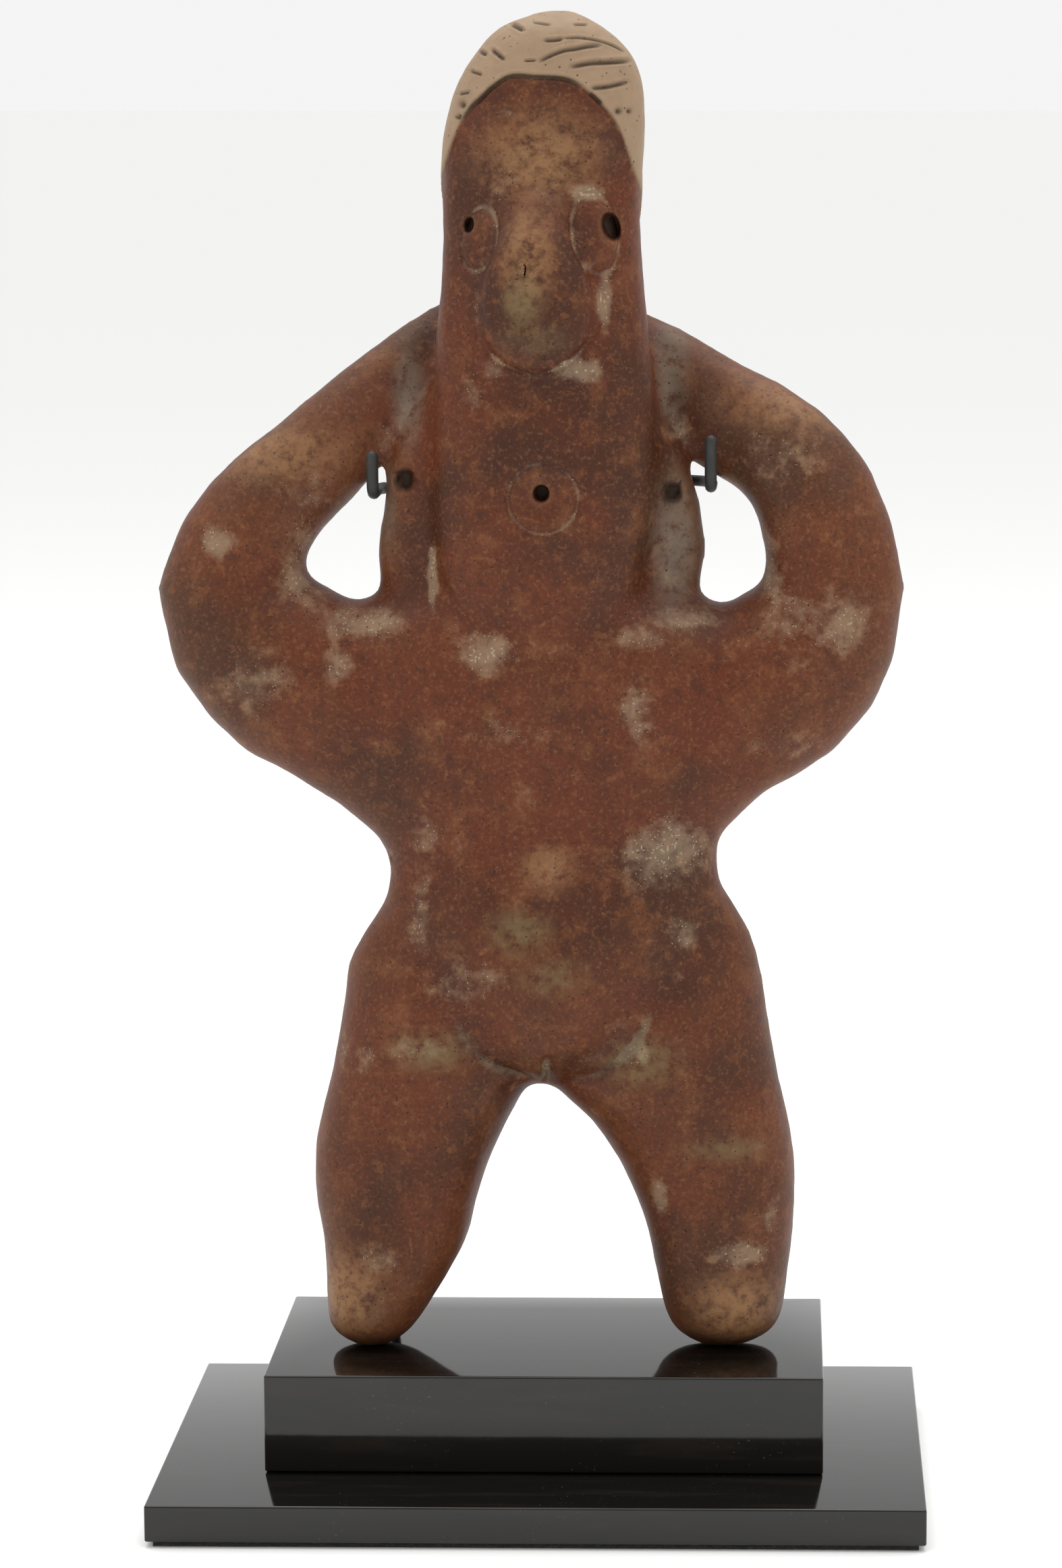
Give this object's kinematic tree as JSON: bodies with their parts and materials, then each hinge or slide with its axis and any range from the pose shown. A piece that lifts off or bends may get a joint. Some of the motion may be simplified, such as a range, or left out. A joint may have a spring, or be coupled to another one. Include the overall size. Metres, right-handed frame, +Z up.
{
  "type": "standing clay figure on a display base",
  "caption": "Hand-modelled red clay standing figure with hands behind its head, held by bent rods on a stepped black base.",
  "frame": {"origin": "middle of the base's underside, on the surface it stands on", "axes": "+Z up, the figure faces -Y, and left in a name is towards -X, as seen from the front"},
  "size_m": [0.1734, 0.116, 0.3346],
  "materials": {
    "clay": "burnished red slip worn in places, pale earth in the hollows",
    "lacquer": "black lacquer polished to a mirror, light dust",
    "felt": "black felt sheet",
    "rod": "dark patinated rod"
  },
  "bodies": {
    "root": {"figure": "clay", "base_upper": "lacquer", "base_lower": "lacquer", "base_felt": "felt", "mount_rod_left": "rod", "mount_rod_right": "rod"}
  },
  "joints": []
}
